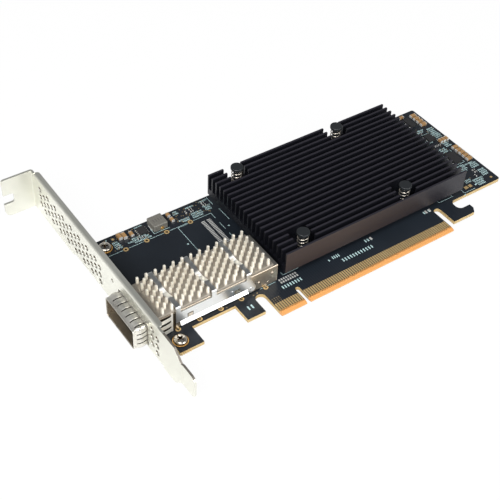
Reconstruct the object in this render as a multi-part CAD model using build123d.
from build123d import *
import math
import os

# A low-profile network card lying component side up, in millimetres.
# While it is drawn, X = 0 is the middle of the key notch, Y = 0 the lower end of the
# contact tongue and Z = 0 the top of the board. Each piece is moved to the card's own
# origin, the middle of the bottom of its box, as it is saved.

# How far each cut runs past the faces that it opens
PAST = 1.0

# Board
BOARD_THICK = 1.57
BOARD_LEFT = -52.9
BOARD_RIGHT = 110.35
BOARD_TOP = 68.9
BOARD_CORNER = 1.0
TONGUE_LEFT = -12.15
TONGUE_RIGHT = 72.15
FRONT_EDGE = 12.68
REAR_EDGE = 13.0
BEVEL_START = 1.25
BEVEL_ANGLE = 20.0
KEY_WIDTH = 1.9
KEY_TOP = 8.2
FOOT_RIGHT = -42.95
FOOT_BOTTOM = 4.45
GUARD_LEFT = -24.35
GUARD_RIGHT = -16.45
HOOK_LEFT = 75.3
HOOK_RIGHT = 87.8
HOOK_BOTTOM = 3.15
HOOK_CHAMFER = (1.6, 2.2)
HOOK_GAP_BOTTOM = 7.6
HOOK_GAP_LEFT = 82.1
HOOK_GAP_RADIUS = 2.2

# Edge contacts
CONTACT_PITCH = 1.0
CONTACT_WIDTH = 0.7
CONTACT_TOP = 5.56
CONTACT_BOTTOM = 1.3
CONTACT_SHORT_BOTTOM = 2.0
CONTACT_THICK = 0.05
CONTACTS_LEFT = 11
CONTACTS_RIGHT = 71
CONTACT_FIRST = 1.5
PRESENCE_CONTACTS = (5, 19, 36, 69)

# Bracket
SHEET = 0.86
BRACKET_LENGTH = 120.02
BRACKET_TOP = 104.25
BRACKET_FACE = -60.15
BRACKET_WIDTH = 18.42
BRACKET_LOW = -3.1
BEND_RADIUS = 0.7
TAB_LENGTH = 12.55
TAB_CORNER_LOW = 2.6
TAB_CORNER_HIGH = 1.2
TAB_SLOT_WIDTH = 4.42
TAB_SLOT_DEPTH = 4.4
TAB_SLOT_FROM_LOW = 8.6
TONGUE_INSET_LOW = 4.5
TONGUE_INSET_HIGH = 4.115
TONGUE_LENGTH = 8.1
TAPER_LENGTH = 4.4
JOGGLE = 0.25
JOGGLE_LENGTH = 1.0
TIP_CORNER_HIGH = 2.3
TIP_CORNER_LOW = 1.6
FLANGE_REACH = 2.4
FLANGE_START = 7.3
FLANGE_END = 101.4
FLANGE_CORNER = 1.2
LOW_EDGE_START = 3.5
LOW_EDGE_END = 70.5
LOW_EDGE_SLOPE = 2.0
LOW_EDGE_Z = -1.4
TONGUE_EDGE_Z = -2.3
EAR_END = -46.3
EAR_HALF_WIDTH = 4.0
EAR_CORNER = 1.5
VENT_HOLE = 2.5
VENT_PITCH = 3.7
VENT_COLUMNS = 16
VENT_ROWS = 3
VENT_FIRST = 96.4
VENT_LOWEST = 1.4
LOWER_VENT_COLUMNS = 2
LOWER_VENT_FIRST = 10.85
LAMP_HOLE = 1.6
LAMP_HOLE_AT = (38.6, 10.5)

# Screws and their pads
SCREW_X = -49.85
SCREW_YS = (9.3, 64.2)
SCREW_HOLE = 3.2
SCREW_SHANK = 2.9
SCREW_HEAD = 5.2
SCREW_HEAD_HIGH = 1.5
SCREW_HEAD_ROUND = 0.7
SCREW_END_PROUD = 0.3
THREAD_GAP = 0.01
DRIVE_LENGTH = 3.0
DRIVE_WIDTH = 0.7
DRIVE_DEPTH = 0.9
PAD_OUTSIDE = 6.6
PAD_THICK = 0.05

# Port cage
CAGE_SHEET = 0.3
CAGE_LEFT = -65.5
CAGE_RIGHT = -4.4
CAGE_WIDTH = 19.0
CAGE_MID = 24.1
CAGE_FLOOR = 0.3
CAGE_TOP = 9.0
CAGE_CORNER = 0.5
CAGE_LEG_WIDTH = 0.6
CAGE_LEG_DEPTH = 0.4
CAGE_LEG_LENGTH = 1.9
LEG_XS = (-47.8, -38.7, -29.6, -20.6, -9.7)
SPARE_LEG_XS = (-43.4, -34.2, -25.2, -14.3)
LEG_HOLE = 1.05
LEG_RING = 2.1
LEG_ROW_OUT = 0.35
SPARE_PORT_MID = 49.5

# Collar and gasket round the cage
COLLAR_SHEET = 0.25
COLLAR_LIP = 0.2
COLLAR_RIM = 1.4
COLLAR_BULGE = 0.6
COLLAR_BULGE_AT = -62.4
COLLAR_END_LIFT = 0.15
COLLAR_REACH_IN = 0.4
COLLAR_SLITS = 6
COLLAR_SLIT_PITCH = 2.98
COLLAR_SLIT_SHIFT = 0.8
COLLAR_SLIT_WIDTH = 0.35
COLLAR_SLIT_LENGTH = 3.6
COLLAR_SIDE_SLITS = 3
COLLAR_SIDE_PITCH = 2.3
OPENING_CLEARANCE = 0.1
GASKET_RIGHT = -49.6
GASKET_FINGERS = 3
GASKET_ROOT = 1.5
GASKET_TIP = 0.8
GASKET_LAP = 0.4

# Connector in the cage
CONNECTOR_FRONT = -20.0
CONNECTOR_HIGH = 7.6
CONNECTOR_SIDE_GAP = 0.6
CONNECTOR_BACK_GAP = 0.5
CONNECTOR_CHAMFER = 0.6
CARD_SLOT_HIGH = 1.4
CARD_SLOT_WIDE = 16.4
CARD_SLOT_DEEP = 6.5
CARD_SLOT_MID = 4.4
PORT_CONTACTS = 19
PORT_CONTACT_PITCH = 0.8
PORT_CONTACT_WIDTH = 0.4
PORT_CONTACT_THICK = 0.2

# Pin-fin heat sink on the cage
PIN_BASE_THICK = 1.1
PIN_BASE_LEFT = -56.0
PIN_BASE_RIGHT = -6.3
PIN_BASE_EDGE = 0.2
PIN_FOOT_DEEP = 0.7
PIN_FOOT_WIDTH = 13.2
PIN_FOOT_INSET = 2.6
PIN_OPENING_GAP = 0.4
PIN_SIZE = 1.05
PIN_TIP_SIZE = 0.9
PIN_TOP = 13.3
PIN_COLUMNS = 13
PIN_ROWS = 6
PIN_LAST_X = -8.4
PIN_PITCH_X = 3.74
PIN_ROW_EDGE = 0.1
STRAP_GAPS = (2, 6, 10)

# Spring clip over the pin-fin heat sink
CLIP_SHEET = 0.35
STRAP_WIDTH = 1.9
STRAP_HIGH = 11.8
STRAP_LOW = 10.35
STRAP_FLAT = 5.4
STRAP_RISE = 3.4
CLIP_BEND = 0.5
CLIP_SKIRT_LEFT = -47.0
CLIP_SKIRT_RIGHT = -18.2
CLIP_SKIRT_TOP = 8.7
CLIP_SKIRT_LOW = 4.0
CLIP_LIP_OUT = 0.9
CLIP_LIP_DOWN = 1.5
CLIP_LOBE = 4.4
CLIP_LOBE_X = -16.7
CLIP_LOBE_Z = 3.6
LATCH_XS = (-42.7, -22.7)
LATCH_Z = 5.4
LATCH_WIDE = 1.9
LATCH_HIGH = 1.4
LATCH_PROUD = 0.75
LATCH_GAP = 0.3

# Main heat sink
SINK_LEFT = -2.0
SINK_RIGHT = 87.6
SINK_NEAR = 12.9
SINK_FAR = 66.0
SINK_LOW = 4.3
SINK_BASE_THICK = 3.0
SINK_TOP = 14.0
FIN_COUNT = 20
FIN_THICK = 0.8
PIN_POCKET = 8.3

# Push pins and springs
PUSH_XS = (9.2, 59.2)
PUSH_YS = (18.1, 62.2)
PUSH_CAP = 5.1
PUSH_CAP_THICK = 1.0
PUSH_CAP_TOP = 16.1
PUSH_CAP_ROUND = 0.25
PUSH_SHAFT = 2.7
PUSH_HOLE = 3.2
PUSH_BARB = 3.7
PUSH_BARB_GAP = 0.05
PUSH_SLIT = 0.7
PUSH_SLIT_DEPTH = 3.0
PUSH_TIP = 1.9
SPRING_OUTSIDE = 4.5
SPRING_WIRE = 0.5
SPRING_TURNS = 5
SPRING_SEAT_GAP = 0.05

# Chip under the heat sink
CHIP_MID = (35.0, 40.2)
CHIP_SIZE = 33.0
CHIP_THICK = 1.6
LID_SIZE = 29.0
LID_THICK = 1.7
LID_CORNER = 1.5
PASTE_SIZE = 26.0

# Power inductor by the far edge
INDUCTOR_MID = (-26.35, 64.6)
INDUCTOR_SIZE = 6.2
INDUCTOR_HIGH = 3.0
INDUCTOR_LIFT = 0.15
INDUCTOR_BEVEL = 0.3
INDUCTOR_TERMINAL = (1.4, 3.2)
INDUCTOR_END_PROUD = 0.2

# Small parts, as (x, y, length along X, length along Y, height)
CAPACITORS = (
    (107.1, 65.0, 3.0, 1.5, 1.0), (107.1, 62.7, 3.0, 1.5, 1.0), (107.1, 60.4, 3.0, 1.5, 1.0),
    (107.1, 58.1, 3.0, 1.5, 1.0), (108.0, 38.3, 3.0, 1.5, 1.0), (108.0, 36.1, 3.0, 1.5, 1.0),
    (108.0, 33.9, 3.0, 1.5, 1.0), (108.0, 31.7, 3.0, 1.5, 1.0), (108.0, 29.5, 3.0, 1.5, 1.0),
    (105.6, 45.0, 1.2, 2.4, 0.9), (107.3, 45.0, 1.2, 2.4, 0.9), (109.0, 45.0, 1.2, 2.4, 0.9),
    (101.6, 66.8, 2.4, 1.3, 0.9), (-42.4, 66.4, 1.5, 3.2, 1.2), (-40.6, 65.8, 1.5, 3.2, 1.2),
    (-37.6, 65.4, 1.3, 2.6, 0.9), (-20.0, 67.2, 1.3, 2.2, 0.9), (-20.0, 64.0, 1.3, 2.2, 0.9),
    (94.4, 62.6, 3.0, 1.5, 1.0), (94.4, 60.2, 3.0, 1.5, 1.0), (94.4, 38.0, 3.0, 1.5, 1.0),
    (94.4, 35.6, 3.0, 1.5, 1.0), (94.4, 33.2, 3.0, 1.5, 1.0))
RESISTORS = (
    (104.3, 22.8, 1.2, 0.7, 0.45), (104.3, 21.4, 1.2, 0.7, 0.45), (102.6, 19.6, 0.7, 1.2, 0.45),
    (101.2, 53.0, 1.2, 0.7, 0.45), (103.4, 43.3, 1.2, 0.7, 0.45), (101.6, 43.3, 1.2, 0.7, 0.45),
    (-36.2, 61.7, 1.2, 0.7, 0.45), (-34.2, 61.7, 1.2, 0.7, 0.45), (-45.2, 61.9, 0.7, 1.2, 0.45),
    (-10.6, 65.6, 1.2, 0.7, 0.45), (-10.6, 64.2, 1.2, 0.7, 0.45), (-13.0, 64.9, 0.7, 1.2, 0.45),
    (-4.4, 66.2, 1.2, 0.7, 0.45), (-4.4, 64.8, 1.2, 0.7, 0.45), (92.6, 24.6, 1.2, 0.7, 0.45),
    (92.6, 23.2, 1.2, 0.7, 0.45), (92.6, 50.2, 1.2, 0.7, 0.45), (92.6, 48.8, 1.2, 0.7, 0.45))
PART_END = 0.28
SMALL_CHIPS = (
    (-33.2, 64.8, 3.6, 4.0, 0.9), (102.3, 61.8, 2.8, 5.6, 1.0), (102.7, 49.0, 3.6, 4.6, 1.0),
    (102.3, 33.0, 4.4, 6.6, 1.1), (96.0, 55.0, 4.0, 4.0, 1.0), (96.4, 28.6, 4.0, 4.0, 1.0))
CHIP_LEADS = 4
LEAD_REACH = 0.45
LEAD_WIDTH = 0.35
LEAD_HIGH = 0.25

# Bare pads and rings
SPARE_PAD_ROWS = (-10.1, -7.55)
SPARE_PAD = (1.6, 0.45)
STRIP_PADS = 8
STRIP_PITCH = 1.05
STRIP_FIRST = (-3.3, 13.1)
STRIP_PAD = (0.6, 0.9)
STRIP_ROWS = 2
STRIP_ROW_STEP = 1.35
GOLD_PADS = ((93.8, 16.1, 1.8, 1.5), (96.1, 16.1, 1.5, 1.5))
GOLD_DOTS = ((-45.0, 66.8), (107.7, 15.6))
GOLD_DOT = 1.1
PLAIN_PADS = ((69.3, 13.7), (71.2, 13.7), (40.4, 13.7))
PLAIN_PAD = (0.9, 1.5)

# What follows from the sizes above
BOARD_LOW = -BOARD_THICK
BRACKET_HIGH = BRACKET_LOW + BRACKET_WIDTH
BRACKET_TIP = BRACKET_TOP - BRACKET_LENGTH
TONGUE_START = BRACKET_TIP + TONGUE_LENGTH
TAPER_START = TONGUE_START + TAPER_LENGTH
TAB_END = BRACKET_FACE - TAB_LENGTH
EAR_LOW = BOARD_LOW - SHEET
VENT_STEP = VENT_PITCH * math.cos(math.radians(30))
SINK_FLOOR = SINK_LOW + SINK_BASE_THICK
FIN_PITCH = (SINK_FAR - SINK_NEAR - FIN_THICK) / (FIN_COUNT - 1)
CAGE_NEAR = CAGE_MID - CAGE_WIDTH / 2
CAGE_FAR = CAGE_MID + CAGE_WIDTH / 2
COLLAR_LEFT = CAGE_LEFT - COLLAR_LIP
COLLAR_RIGHT = BRACKET_FACE + COLLAR_REACH_IN
OPENING_GAP = COLLAR_SHEET + COLLAR_BULGE + OPENING_CLEARANCE
PIN_FLOOR = CAGE_TOP + PIN_BASE_THICK
PIN_BASE_WIDTH = CAGE_WIDTH - 2 * PIN_BASE_EDGE
PIN_PITCH_Y = (PIN_BASE_WIDTH - 2 * PIN_ROW_EDGE - PIN_SIZE) / (PIN_ROWS - 1)
LEG_OFFSET = CAGE_WIDTH / 2 + LEG_ROW_OUT
MIDDLE = ((TAB_END + BOARD_RIGHT) / 2, (BRACKET_TIP + BRACKET_TOP) / 2)


def block(x0, x1, y0, y1, z0, z1):
    """A box given by where it starts and ends along each axis."""
    corner = (Align.MIN, Align.MIN, Align.MIN)
    return Pos(x0, y0, z0) * Box(x1 - x0, y1 - y0, z1 - z0, align=corner)


def span(x0, x1, y0, y1):
    """A flat rectangle given by where it starts and ends."""
    return Pos(x0, y0) * Rectangle(x1 - x0, y1 - y0, align=(Align.MIN, Align.MIN))


def disc(x, y, diameter, z0, z1):
    """An upright cylinder from z0 to z1."""
    base = (Align.CENTER, Align.CENTER, Align.MIN)
    return Pos(x, y, z0) * Cylinder(diameter / 2, z1 - z0, align=base)


def bent_strip(points, thick, radius, plane, start, end):
    """A sheet of even thickness folded along a line, drawn in a plane and extruded."""
    line = FilletPolyline(*points, radius=radius)
    profile = trace(line, thick)
    return extrude(plane.offset(start) * profile, amount=end - start)


def side_cut(outline, x0, x1):
    """An outline drawn in (Y, Z) as a solid from x0 to x1."""
    return extrude(Plane.YZ.offset(x0) * outline, amount=x1 - x0, dir=(1, 0, 0))


def save(name, *solids):
    """Write a node at the card's own origin."""
    shape = solids[0] if len(solids) == 1 else Compound(children=list(solids))
    export_step(Pos(-MIDDLE[0], -MIDDLE[1], -BRACKET_LOW) * shape, f"parts/{name}.step")


def round_slot(x0, x1, top):
    """A slot cut up from the lower edge with a full-round end."""
    radius = (x1 - x0) / 2
    return span(x0, x1, -PAST, top - radius) + Pos(x0 + radius, top - radius) * Circle(radius)


def leg_places():
    """Where the cage's legs go through the board."""
    return [(x, CAGE_MID + side * LEG_OFFSET) for side in (-1, 1) for x in LEG_XS]


def spare_places():
    """The same holes for the second port that is not fitted."""
    return [(x, SPARE_PORT_MID + side * LEG_OFFSET) for side in (-1, 1) for x in SPARE_LEG_XS]


def push_places():
    return [(x, y) for x in PUSH_XS for y in PUSH_YS]


def make_board():
    outline = span(BOARD_LEFT, BOARD_RIGHT, 0, BOARD_TOP)
    outline -= span(BOARD_LEFT - PAST, FOOT_RIGHT, -PAST, FOOT_BOTTOM)
    outline -= span(FOOT_RIGHT, GUARD_LEFT, -PAST, FRONT_EDGE)
    outline -= span(GUARD_LEFT, GUARD_RIGHT, -PAST, FOOT_BOTTOM)
    outline -= round_slot(GUARD_RIGHT, TONGUE_LEFT, FRONT_EDGE)
    outline -= round_slot(-KEY_WIDTH / 2, KEY_WIDTH / 2, KEY_TOP)
    outline -= round_slot(TONGUE_RIGHT, HOOK_LEFT, REAR_EDGE)
    outline -= span(HOOK_LEFT, HOOK_RIGHT, -PAST, HOOK_BOTTOM)
    outline -= span(HOOK_RIGHT, BOARD_RIGHT + PAST, -PAST, REAR_EDGE)
    gap = span(HOOK_GAP_LEFT, HOOK_RIGHT + PAST, HOOK_GAP_BOTTOM, REAR_EDGE)
    outline -= fillet(gap.vertices().group_by(Axis.X)[0], HOOK_GAP_RADIUS)
    chamfer_x, chamfer_y = HOOK_CHAMFER
    corner = [(HOOK_RIGHT - chamfer_x, HOOK_BOTTOM), (HOOK_RIGHT, HOOK_BOTTOM)]
    outline -= Polygon(*corner, (HOOK_RIGHT, HOOK_BOTTOM + chamfer_y), align=None)
    for x, y in push_places():
        outline -= Pos(x, y) * Circle(PUSH_HOLE / 2)
    for y in SCREW_YS:
        outline -= Pos(SCREW_X, y) * Circle(SCREW_HOLE / 2)
    for x, y in leg_places() + spare_places():
        outline -= Pos(x, y) * Circle(LEG_HOLE / 2)
    board = extrude(Plane.XY.offset(BOARD_LOW) * outline, amount=BOARD_THICK)
    uprights = board.edges().filter_by(Axis.Z)
    rear = uprights.group_by(Axis.X)[-1]
    board = fillet(rear, BOARD_CORNER)
    drop = BEVEL_START * math.tan(math.radians(BEVEL_ANGLE))
    for level, slope in ((0, -drop), (BOARD_LOW, drop)):
        wedge = Polygon((0, level), (BEVEL_START, level), (0, level + slope), align=None)
        board -= side_cut(wedge, TONGUE_LEFT - PAST, TONGUE_RIGHT + PAST)
    return board


def make_contacts():
    """Gold contacts on both faces, short where the card senses that it is plugged in."""
    pads = []
    lefts = [-CONTACT_FIRST - i * CONTACT_PITCH for i in range(CONTACTS_LEFT)]
    rights = [CONTACT_FIRST + i * CONTACT_PITCH for i in range(CONTACTS_RIGHT)]
    for level in (0, BOARD_LOW - CONTACT_THICK):
        for x in lefts + rights:
            short = x in rights and rights.index(x) in PRESENCE_CONTACTS
            low = CONTACT_SHORT_BOTTOM if short and level == 0 else CONTACT_BOTTOM
            half = CONTACT_WIDTH / 2
            pads.append(block(x - half, x + half, low, CONTACT_TOP, level, level + CONTACT_THICK))
    return pads


def vent_places(columns, first):
    """Staggered hole centres on the bracket, as (Y, Z)."""
    places = []
    for column in range(columns):
        rise = 0 if column % 2 else VENT_PITCH / 2
        for row in range(VENT_ROWS):
            places.append((first - column * VENT_STEP, VENT_LOWEST + rise + row * VENT_PITCH))
    return places


def through_face(outline):
    """An outline in (Y, Z) as a cut right through the bracket's face."""
    return side_cut(outline, BRACKET_FACE - PAST, BRACKET_FACE + JOGGLE + SHEET + PAST)


def folded_sheet():
    """Screw tab, face and tongue as one folded strip of the full width."""
    mid = SHEET / 2
    face_x = BRACKET_FACE + mid
    tab_y = BRACKET_TOP - mid
    tongue_x = face_x + JOGGLE
    plan = [(TAB_END, tab_y), (face_x, tab_y), (face_x, TONGUE_START),
            (tongue_x, TONGUE_START - JOGGLE_LENGTH), (tongue_x, BRACKET_TIP)]
    return bent_strip(plan, SHEET, BEND_RADIUS, Plane.XY, BRACKET_LOW, BRACKET_HIGH)


def edge_cuts():
    """What is cut off the two long edges of the face, as outlines in (Y, Z)."""
    beyond = BRACKET_TIP - PAST
    cuts = []
    for edge, step in ((BRACKET_LOW, TONGUE_INSET_LOW), (BRACKET_HIGH, -TONGUE_INSET_HIGH)):
        cuts.append(Polygon((TAPER_START, edge), (TONGUE_START, edge + step),
                            (beyond, edge + step), (beyond, edge - step),
                            (TAPER_START, edge - step), align=None))
    low = BRACKET_LOW - PAST
    cuts.append(Polygon((LOW_EDGE_END, low), (LOW_EDGE_END, BRACKET_LOW),
                        (LOW_EDGE_END - LOW_EDGE_SLOPE, LOW_EDGE_Z), (LOW_EDGE_START, LOW_EDGE_Z),
                        (LOW_EDGE_START, TONGUE_EDGE_Z), (beyond, TONGUE_EDGE_Z),
                        (beyond, low), align=None))
    return cuts


def face_holes():
    """The port's opening, the vent holes and the lamp hole, as outlines in (Y, Z)."""
    opening = Rectangle(CAGE_WIDTH + 2 * OPENING_GAP, CAGE_TOP + 2 * OPENING_GAP - CAGE_FLOOR)
    opening = fillet(opening.vertices(), CAGE_CORNER)
    places = vent_places(VENT_COLUMNS, VENT_FIRST)
    places += vent_places(LOWER_VENT_COLUMNS, LOWER_VENT_FIRST)
    vents = [Pos(y, z) * Circle(VENT_HOLE / 2) for y, z in places]
    return vents + [Pos(CAGE_MID, (CAGE_TOP + CAGE_FLOOR) / 2) * opening,
                    Pos(*LAMP_HOLE_AT) * Circle(LAMP_HOLE / 2)]


def fold_out(sheet, start, end, level, turn, reach, corner):
    """Fold a strip of the face at right angles from start to end, its middle at a level."""
    face_x = BRACKET_FACE + SHEET / 2
    root = level - turn * 2 * BEND_RADIUS
    beyond = level + turn * BRACKET_WIDTH
    sheet -= through_face(span(start, end, min(root, beyond), max(root, beyond)))
    line = [(face_x, root), (face_x, level), (reach, level)]
    strip = bent_strip(line, SHEET, BEND_RADIUS, Plane.XZ, -end, -start)
    rim = strip.edges().filter_by(Axis.Z).group_by(Axis.X)[-1]
    return sheet + fillet(rim, corner)


def tab_slot():
    """The open slot for the case's screw."""
    middle = BRACKET_LOW + TAB_SLOT_FROM_LOW
    half = TAB_SLOT_WIDTH / 2
    slot = block(TAB_END - PAST, TAB_END + TAB_SLOT_DEPTH, BRACKET_TOP - SHEET - PAST,
                 BRACKET_TOP + PAST, middle - half, middle + half)
    return fillet(slot.edges().filter_by(Axis.Y).group_by(Axis.X)[-1], half / 2)


def round_corner(sheet, through, along, which, radius):
    """Round the low (0) or high (-1) corner of the sheet's first end along an axis."""
    corners = sheet.edges().filter_by(through).group_by(along)[0].sort_by(Axis.Z)
    return fillet(corners[which], radius)


def make_bracket():
    """One sheet: face, screw tab, stiffening flange, tongue and two ears."""
    sheet = folded_sheet() - through_face(Sketch() + edge_cuts())
    sheet = fold_out(sheet, FLANGE_START, FLANGE_END, BRACKET_HIGH - SHEET / 2, 1,
                     BRACKET_FACE + FLANGE_REACH, FLANGE_CORNER)
    for y in SCREW_YS:
        sheet = fold_out(sheet, y - EAR_HALF_WIDTH, y + EAR_HALF_WIDTH, EAR_LOW + SHEET / 2, -1,
                         EAR_END, EAR_CORNER)
        sheet -= disc(SCREW_X, y, SCREW_SHANK, EAR_LOW - PAST, BOARD_LOW + PAST)
    sheet -= through_face(Sketch() + face_holes())
    sheet -= tab_slot()
    sheet = round_corner(sheet, Axis.Y, Axis.X, 0, TAB_CORNER_LOW)
    sheet = round_corner(sheet, Axis.Y, Axis.X, -1, TAB_CORNER_HIGH)
    sheet = round_corner(sheet, Axis.X, Axis.Y, 0, TIP_CORNER_LOW)
    return round_corner(sheet, Axis.X, Axis.Y, -1, TIP_CORNER_HIGH)


def make_screws():
    screws = []
    for y in SCREW_YS:
        head = disc(SCREW_X, y, SCREW_HEAD, PAD_THICK, SCREW_HEAD_HIGH)
        head = fillet(head.edges().group_by(Axis.Z)[-1], SCREW_HEAD_ROUND)
        shank = disc(SCREW_X, y, SCREW_SHANK - 2 * THREAD_GAP, EAR_LOW - SCREW_END_PROUD, PAD_THICK)
        drive_z = SCREW_HEAD_HIGH - DRIVE_DEPTH
        for across, along in ((DRIVE_LENGTH, DRIVE_WIDTH), (DRIVE_WIDTH, DRIVE_LENGTH)):
            head -= block(SCREW_X - across / 2, SCREW_X + across / 2, y - along / 2,
                          y + along / 2, drive_z, SCREW_HEAD_HIGH + PAST)
        screws.append(head + shank)
    return screws


def make_screw_pads():
    pads = []
    for y in SCREW_YS:
        pad = disc(SCREW_X, y, PAD_OUTSIDE, 0, PAD_THICK)
        pad -= disc(SCREW_X, y, SCREW_HOLE, -PAST, PAST)
        pads.append(pad & block(BOARD_LEFT, BOARD_RIGHT, 0, BOARD_TOP, -PAST, PAST))
    return pads


def tube(x0, x1, near, far, low, high, sheet):
    """A square tube of thin sheet, open at both ends, with rounded long edges."""
    outside = Pos((near + far) / 2, (low + high) / 2) * Rectangle(far - near, high - low)
    outside = fillet(outside.vertices(), CAGE_CORNER)
    return side_cut(outside - offset(outside, -sheet), x0, x1)


def make_cage():
    """A folded tube with a rear wall, a heat sink opening on top and press-fit legs."""
    cage = tube(CAGE_LEFT, CAGE_RIGHT, CAGE_NEAR, CAGE_FAR, CAGE_FLOOR, CAGE_TOP, CAGE_SHEET)
    inside = CAGE_SHEET / 2
    cage += block(CAGE_RIGHT - CAGE_SHEET, CAGE_RIGHT, CAGE_NEAR + inside, CAGE_FAR - inside,
                  CAGE_FLOOR + inside, CAGE_TOP - inside)
    half = PIN_FOOT_WIDTH / 2 + PIN_OPENING_GAP
    left = PIN_BASE_LEFT + PIN_FOOT_INSET - PIN_OPENING_GAP
    right = PIN_BASE_RIGHT - PIN_FOOT_INSET + PIN_OPENING_GAP
    cage -= block(left, right, CAGE_MID - half, CAGE_MID + half, CAGE_TOP - PAST, CAGE_TOP + PAST)
    cage -= block(CONNECTOR_FRONT, CAGE_RIGHT + PAST, CAGE_NEAR + CONNECTOR_SIDE_GAP,
                  CAGE_FAR - CONNECTOR_SIDE_GAP, CAGE_FLOOR - PAST, CAGE_FLOOR + CAGE_SHEET)
    for side, wall in ((-1, CAGE_NEAR), (1, CAGE_FAR)):
        for x in LEG_XS:
            y = CAGE_MID + side * LEG_OFFSET
            inner = wall - side * CAGE_SHEET / 2
            outer = y + side * CAGE_LEG_DEPTH / 2
            half = CAGE_LEG_WIDTH / 2
            foot = CAGE_FLOOR + CAGE_CORNER
            cage += block(x - half, x + half, min(inner, outer), max(inner, outer),
                          foot, foot + CAGE_SHEET)
            leg_in = y - side * CAGE_LEG_DEPTH / 2
            cage += block(x - half, x + half, min(leg_in, outer), max(leg_in, outer),
                          -CAGE_LEG_LENGTH, foot + CAGE_SHEET)
        for x in LATCH_XS:
            inner = wall - side * CAGE_SHEET / 2
            proud = wall + side * LATCH_PROUD
            half = LATCH_WIDE / 2
            cage += block(x - half, x + half, min(inner, proud), max(inner, proud),
                          LATCH_Z - LATCH_HIGH / 2, LATCH_Z + LATCH_HIGH / 2)
    return cage


def collar_form(grow):
    """A rounded box that is straight at the mouth and swells before it meets the bracket."""
    rim = COLLAR_LEFT + COLLAR_RIM
    rings = []
    for x, swell in ((rim, 0), (COLLAR_BULGE_AT, COLLAR_BULGE), (COLLAR_RIGHT, COLLAR_END_LIFT)):
        out = grow + swell
        ring = RectangleRounded(CAGE_WIDTH + 2 * out, CAGE_TOP - CAGE_FLOOR + 2 * out,
                                CAGE_CORNER + grow)
        rings.append(Plane.YZ.offset(x) * Pos(CAGE_MID, (CAGE_FLOOR + CAGE_TOP) / 2) * ring)
    return extrude(rings[0], amount=COLLAR_RIM, dir=(-1, 0, 0)) + loft(rings)


def make_collar():
    """Springy collar round the mouth, slit into fingers on the top, bottom and sides."""
    collar = collar_form(COLLAR_SHEET) - collar_form(0)
    right = COLLAR_RIGHT + PAST
    left = COLLAR_RIGHT - COLLAR_SLIT_LENGTH
    half = COLLAR_SLIT_WIDTH / 2
    for i in range(COLLAR_SLITS):
        y = CAGE_MID - COLLAR_SLIT_SHIFT + (i - (COLLAR_SLITS - 1) / 2) * COLLAR_SLIT_PITCH
        collar -= block(left, right, y - half, y + half, CAGE_FLOOR - PAST, CAGE_TOP + PAST)
    for i in range(COLLAR_SIDE_SLITS):
        z = (CAGE_FLOOR + CAGE_TOP) / 2 + (i - (COLLAR_SIDE_SLITS - 1) / 2) * COLLAR_SIDE_PITCH
        collar -= block(left, right, CAGE_NEAR - PAST, CAGE_FAR + PAST, z - half, z + half)
    return collar


def make_gasket():
    """Contact fingers round the cage that press on the back of the bracket."""
    grow = COLLAR_SHEET
    left = BRACKET_FACE + SHEET
    band = tube(left, GASKET_RIGHT, CAGE_NEAR - grow, CAGE_FAR + grow,
                CAGE_FLOOR - grow, CAGE_TOP + grow, COLLAR_SHEET)
    press = OPENING_GAP + GASKET_LAP
    band += tube(left, left + COLLAR_SHEET, CAGE_NEAR - press, CAGE_FAR + press,
                 CAGE_FLOOR - press, CAGE_TOP + press, press)
    half = COLLAR_SLIT_WIDTH / 2
    for i in range(GASKET_FINGERS):
        z = CAGE_FLOOR + (i + 1) * (CAGE_TOP - CAGE_FLOOR) / (GASKET_FINGERS + 1)
        band -= block(left + GASKET_ROOT, GASKET_RIGHT - GASKET_TIP, CAGE_NEAR - PAST,
                      CAGE_FAR + PAST, z - half, z + half)
    return band - block(PIN_BASE_LEFT - PIN_OPENING_GAP, GASKET_RIGHT + PAST, CAGE_NEAR,
                        CAGE_FAR, CAGE_TOP - PAST, CAGE_TOP + PAST)


def make_connector():
    """The block at the back of the cage that a module's card edge pushes into."""
    right = CAGE_RIGHT - CAGE_SHEET - CONNECTOR_BACK_GAP
    near = CAGE_NEAR + CAGE_SHEET + CONNECTOR_SIDE_GAP
    far = CAGE_FAR - CAGE_SHEET - CONNECTOR_SIDE_GAP
    body = block(CONNECTOR_FRONT, right, near, far, 0, CONNECTOR_HIGH)
    body = chamfer(body.edges().group_by(Axis.Z)[-1], CONNECTOR_CHAMFER)
    half = CARD_SLOT_WIDE / 2
    low = CARD_SLOT_MID - CARD_SLOT_HIGH / 2 - PORT_CONTACT_THICK
    high = CARD_SLOT_MID + CARD_SLOT_HIGH / 2 + PORT_CONTACT_THICK
    deep = CONNECTOR_FRONT + CARD_SLOT_DEEP
    return body - block(CONNECTOR_FRONT - PAST, deep, CAGE_MID - half, CAGE_MID + half, low, high)


def make_port_contacts():
    bars = []
    half = PORT_CONTACT_WIDTH / 2
    for side in (-1, 1):
        edge = CARD_SLOT_MID + side * CARD_SLOT_HIGH / 2
        far_edge = edge + side * PORT_CONTACT_THICK
        for i in range(PORT_CONTACTS):
            y = CAGE_MID + (i - (PORT_CONTACTS - 1) / 2) * PORT_CONTACT_PITCH
            bars.append(block(CONNECTOR_FRONT + half, CONNECTOR_FRONT + CARD_SLOT_DEEP,
                              y - half, y + half, min(edge, far_edge), max(edge, far_edge)))
    return bars


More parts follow.
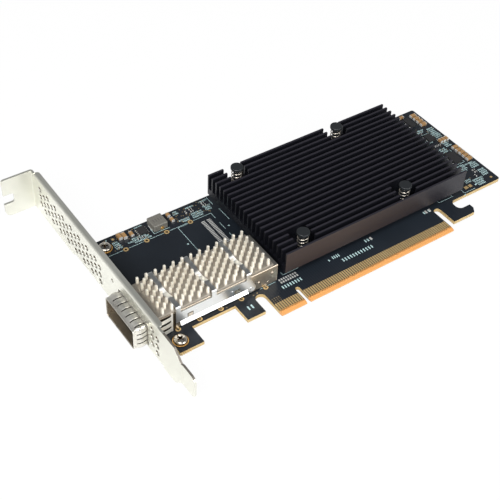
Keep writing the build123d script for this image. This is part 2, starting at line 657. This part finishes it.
def pin_places():
    """Main columns of pins, and the ones set between them except under a strap."""
    first_y = CAGE_MID - PIN_PITCH_Y * (PIN_ROWS - 1) / 2
    places = []
    for column in range(PIN_COLUMNS):
        x = PIN_LAST_X - column * PIN_PITCH_X
        places += [(x, first_y + row * PIN_PITCH_Y) for row in range(PIN_ROWS)]
        if column in STRAP_GAPS or column == PIN_COLUMNS - 1:
            continue
        between = x - PIN_PITCH_X / 2
        places += [(between, first_y + (row + 0.5) * PIN_PITCH_Y) for row in range(PIN_ROWS - 1)]
    return places


def make_pin_sink():
    """Cast base with tapered pins, and a foot that reaches down into the cage."""
    half = PIN_BASE_WIDTH / 2
    base = block(PIN_BASE_LEFT, PIN_BASE_RIGHT, CAGE_MID - half, CAGE_MID + half,
                 CAGE_TOP, PIN_FLOOR)
    foot = PIN_FOOT_WIDTH / 2
    base += block(PIN_BASE_LEFT + PIN_FOOT_INSET, PIN_BASE_RIGHT - PIN_FOOT_INSET,
                  CAGE_MID - foot, CAGE_MID + foot, CAGE_TOP - PIN_FOOT_DEEP, CAGE_TOP)
    roots = Sketch() + [Pos(x, y) * Rectangle(PIN_SIZE, PIN_SIZE) for x, y in pin_places()]
    slope = math.degrees(math.atan((PIN_SIZE - PIN_TIP_SIZE) / 2 / (PIN_TOP - PIN_FLOOR)))
    pins = extrude(Plane.XY.offset(PIN_FLOOR) * roots, amount=PIN_TOP - PIN_FLOOR, taper=slope)
    return base + pins


def strap_xs():
    return [PIN_LAST_X - (gap + 0.5) * PIN_PITCH_X for gap in STRAP_GAPS]


def make_clip():
    """Spring sheet: three straps that dip onto the heat sink, and a skirt each side."""
    mid = CLIP_SHEET / 2
    reach = CAGE_WIDTH / 2 + COLLAR_SHEET + mid
    near, far = CAGE_MID - reach, CAGE_MID + reach
    inner = reach - STRAP_FLAT
    dip = inner - STRAP_RISE
    line = [(near, CLIP_SKIRT_LOW), (near, STRAP_HIGH - mid), (CAGE_MID - inner, STRAP_HIGH - mid),
            (CAGE_MID - dip, STRAP_LOW + mid), (CAGE_MID + dip, STRAP_LOW + mid),
            (CAGE_MID + inner, STRAP_HIGH - mid), (far, STRAP_HIGH - mid), (far, CLIP_SKIRT_LOW)]
    half = STRAP_WIDTH / 2
    clip = None
    for x in strap_xs():
        strap = bent_strip(line, CLIP_SHEET, CLIP_BEND, Plane.YZ, x - half, x + half)
        clip = strap if clip is None else clip + strap
    last = strap_xs()[0]
    lobe = CLIP_LOBE / 2
    finger = Polygon((last - half, CLIP_SKIRT_TOP), (last + half, CLIP_SKIRT_TOP),
                     (CLIP_LOBE_X + lobe, CLIP_LOBE_Z), (CLIP_LOBE_X - lobe, CLIP_LOBE_Z),
                     align=None)
    finger += Pos(CLIP_LOBE_X, CLIP_LOBE_Z) * Circle(lobe)
    for side in (-1, 1):
        y = CAGE_MID + side * reach
        lip = y + side * CLIP_LIP_OUT
        skirt = [(y, CLIP_SKIRT_TOP), (y, CLIP_SKIRT_LOW), (lip, CLIP_SKIRT_LOW - CLIP_LIP_DOWN)]
        clip += bent_strip(skirt, CLIP_SHEET, CLIP_BEND, Plane.YZ,
                           CLIP_SKIRT_LEFT, CLIP_SKIRT_RIGHT)
        clip += extrude(Plane.XZ.offset(mid - y) * finger, amount=CLIP_SHEET, dir=(0, 1, 0))
    half = LATCH_WIDE / 2 + LATCH_GAP
    rise = LATCH_HIGH / 2 + LATCH_GAP
    for x in LATCH_XS:
        clip -= block(x - half, x + half, near - PAST, far + PAST, LATCH_Z - rise, LATCH_Z + rise)
    return clip


def make_heat_sink():
    """Comb profile drawn across the fins, cut back round the four push pins."""
    comb = span(SINK_NEAR, SINK_FAR, SINK_LOW, SINK_TOP)
    for i in range(FIN_COUNT - 1):
        start = SINK_NEAR + i * FIN_PITCH + FIN_THICK
        comb -= span(start, start + FIN_PITCH - FIN_THICK, SINK_FLOOR, SINK_TOP + PAST)
    sink = side_cut(comb, SINK_LEFT, SINK_RIGHT)
    half = PIN_POCKET / 2
    for x, y in push_places():
        low, high = y - half, y + half
        if y == PUSH_YS[0]:
            low = SINK_NEAR + FIN_THICK
        else:
            high = SINK_FAR + PAST
        sink -= block(x - half, x + half, low, high, SINK_FLOOR, SINK_TOP + PAST)
        sink -= disc(x, y, PUSH_HOLE, SINK_LOW - PAST, SINK_FLOOR + PAST)
    return sink


def make_push_pins():
    """Turned shape with a flat cap and a split barbed end that holds under the board."""
    shaft = PUSH_SHAFT / 2
    barb = PUSH_BARB / 2
    barb_top = BOARD_LOW - PUSH_BARB_GAP
    cap_low = PUSH_CAP_TOP - PUSH_CAP_THICK
    half = Polygon((0, BRACKET_LOW), (PUSH_TIP / 2, BRACKET_LOW), (barb, barb_top),
                   (shaft, barb_top), (shaft, cap_low), (PUSH_CAP / 2, cap_low),
                   (PUSH_CAP / 2, PUSH_CAP_TOP), (0, PUSH_CAP_TOP), align=None)
    pin = revolve(Plane.XZ * half, Axis.Z)
    pin = fillet(pin.edges().group_by(Axis.Z)[-1], PUSH_CAP_ROUND)
    slit_top = BRACKET_LOW + PUSH_SLIT_DEPTH
    pin -= block(-PUSH_SLIT / 2, PUSH_SLIT / 2, -barb - PAST, barb + PAST,
                 BRACKET_LOW - PAST, slit_top)
    return [Pos(x, y) * pin for x, y in push_places()]


def make_springs():
    """Coil of square-section wire between the heat sink's floor and the cap."""
    radius = (SPRING_OUTSIDE - SPRING_WIRE) / 2
    low = SINK_FLOOR + SPRING_WIRE / 2
    high = PUSH_CAP_TOP - PUSH_CAP_THICK - SPRING_WIRE / 2 - SPRING_SEAT_GAP
    coil = Helix(pitch=(high - low) / SPRING_TURNS, height=high - low, radius=radius)
    section = Plane(coil @ 0, x_dir=(1, 0, 0), z_dir=coil % 0) * Rectangle(SPRING_WIRE, SPRING_WIRE)
    spring = sweep(section, path=coil, is_frenet=True)
    return [Pos(x, y, low) * spring for x, y in push_places()]


def make_inductor():
    x, y = INDUCTOR_MID
    half = INDUCTOR_SIZE / 2
    body = block(x - half, x + half, y - half, y + half, INDUCTOR_LIFT, INDUCTOR_HIGH)
    return chamfer(body.edges().group_by(Axis.Z)[-1] + body.edges().filter_by(Axis.Z),
                   INDUCTOR_BEVEL)


def make_inductor_ends():
    x, y = INDUCTOR_MID
    long, wide = INDUCTOR_TERMINAL
    ends = []
    for side in (-1, 1):
        edge = x + side * INDUCTOR_SIZE / 2
        outer = edge + side * INDUCTOR_END_PROUD
        inner = edge - side * long
        ends.append(block(min(inner, outer), max(inner, outer), y - wide / 2, y + wide / 2,
                          0, INDUCTOR_LIFT))
    return ends


def part_bodies(parts):
    """The middle of each two-ended part, between its metal ends."""
    bodies = []
    for x, y, dx, dy, high in parts:
        ax, ay = (dx / 2 - PART_END, dy / 2) if dx > dy else (dx / 2, dy / 2 - PART_END)
        bodies.append(block(x - ax, x + ax, y - ay, y + ay, 0, high))
    return bodies


def part_ends(parts):
    ends = []
    for x, y, dx, dy, high in parts:
        for side in (-1, 1):
            if dx > dy:
                out, into = x + side * dx / 2, x + side * (dx / 2 - PART_END)
                spanning = (min(out, into), max(out, into), y - dy / 2, y + dy / 2)
            else:
                out, into = y + side * dy / 2, y + side * (dy / 2 - PART_END)
                spanning = (x - dx / 2, x + dx / 2, min(out, into), max(out, into))
            ends.append(block(*spanning, 0, high))
    return ends


def make_small_chips():
    chips = []
    for x, y, dx, dy, high in SMALL_CHIPS:
        chips.append(block(x - dx / 2, x + dx / 2, y - dy / 2, y + dy / 2, 0, high))
    return chips


def make_chip_leads():
    leads = []
    for x, y, dx, dy, high in SMALL_CHIPS:
        for side in (-1, 1):
            body = x + side * dx / 2
            tip = body + side * LEAD_REACH
            for i in range(CHIP_LEADS):
                mid = y + (i - (CHIP_LEADS - 1) / 2) * dy / CHIP_LEADS
                leads.append(block(min(body, tip), max(body, tip), mid - LEAD_WIDTH / 2,
                                   mid + LEAD_WIDTH / 2, 0, LEAD_HIGH))
    return leads


def make_chip():
    x, y = CHIP_MID
    half = CHIP_SIZE / 2
    return block(x - half, x + half, y - half, y + half, 0, CHIP_THICK)


def make_chip_lid():
    x, y = CHIP_MID
    half = LID_SIZE / 2
    lid = block(x - half, x + half, y - half, y + half, CHIP_THICK, CHIP_THICK + LID_THICK)
    return fillet(lid.edges().filter_by(Axis.Z), LID_CORNER)


def make_thermal_pad():
    x, y = CHIP_MID
    half = PASTE_SIZE / 2
    return block(x - half, x + half, y - half, y + half, CHIP_THICK + LID_THICK, SINK_LOW)


def make_rings():
    rings = []
    for x, y in leg_places() + spare_places():
        rings.append(disc(x, y, LEG_RING, 0, PAD_THICK) - disc(x, y, LEG_HOLE, -PAST, PAST))
    return rings


def flat_pad(x, y, dx, dy):
    return block(x - dx / 2, x + dx / 2, y - dy / 2, y + dy / 2, 0, PAD_THICK)


def make_spare_pads():
    """Two rows of fine pads for the connector of the second port."""
    pads = []
    for x in SPARE_PAD_ROWS:
        for i in range(PORT_CONTACTS):
            y = SPARE_PORT_MID + (i - (PORT_CONTACTS - 1) / 2) * PORT_CONTACT_PITCH
            pads.append(flat_pad(x, y, *SPARE_PAD))
    return pads


def make_plain_pads():
    x0, y0 = STRIP_FIRST
    pads = [flat_pad(x0 + i * STRIP_PITCH, y0 + row * STRIP_ROW_STEP, *STRIP_PAD)
            for row in range(STRIP_ROWS) for i in range(STRIP_PADS)]
    return pads + [flat_pad(x, y, *PLAIN_PAD) for x, y in PLAIN_PADS]


def make_gold_pads():
    dots = [disc(x, y, GOLD_DOT, 0, PAD_THICK) for x, y in GOLD_DOTS]
    return dots + [flat_pad(*place) for place in GOLD_PADS]


os.makedirs("parts", exist_ok=True)
save("board", make_board())
save("edge_contacts", *make_contacts())
save("bracket", make_bracket())
save("bracket_screws", *make_screws())
save("screw_pads", *make_screw_pads())
save("port_cage", make_cage())
save("cage_collar", make_collar())
save("cage_gasket", make_gasket())
save("port_connector", make_connector())
save("port_contacts", *make_port_contacts())
save("pin_heat_sink", make_pin_sink())
save("spring_clip", make_clip())
save("fin_heat_sink", make_heat_sink())
save("push_pins", *make_push_pins())
save("pin_springs", *make_springs())
save("main_chip", make_chip())
save("chip_lid", make_chip_lid())
save("thermal_pad", make_thermal_pad())
save("inductor", make_inductor())
save("inductor_ends", *make_inductor_ends())
save("capacitors", *part_bodies(CAPACITORS))
save("capacitor_ends", *part_ends(CAPACITORS))
save("resistors", *part_bodies(RESISTORS))
save("resistor_ends", *part_ends(RESISTORS))
save("small_chips", *make_small_chips())
save("chip_leads", *make_chip_leads())
save("leg_rings", *make_rings())
save("spare_port_pads", *make_spare_pads())
save("bare_pads", *make_plain_pads())
save("gold_pads", *make_gold_pads())
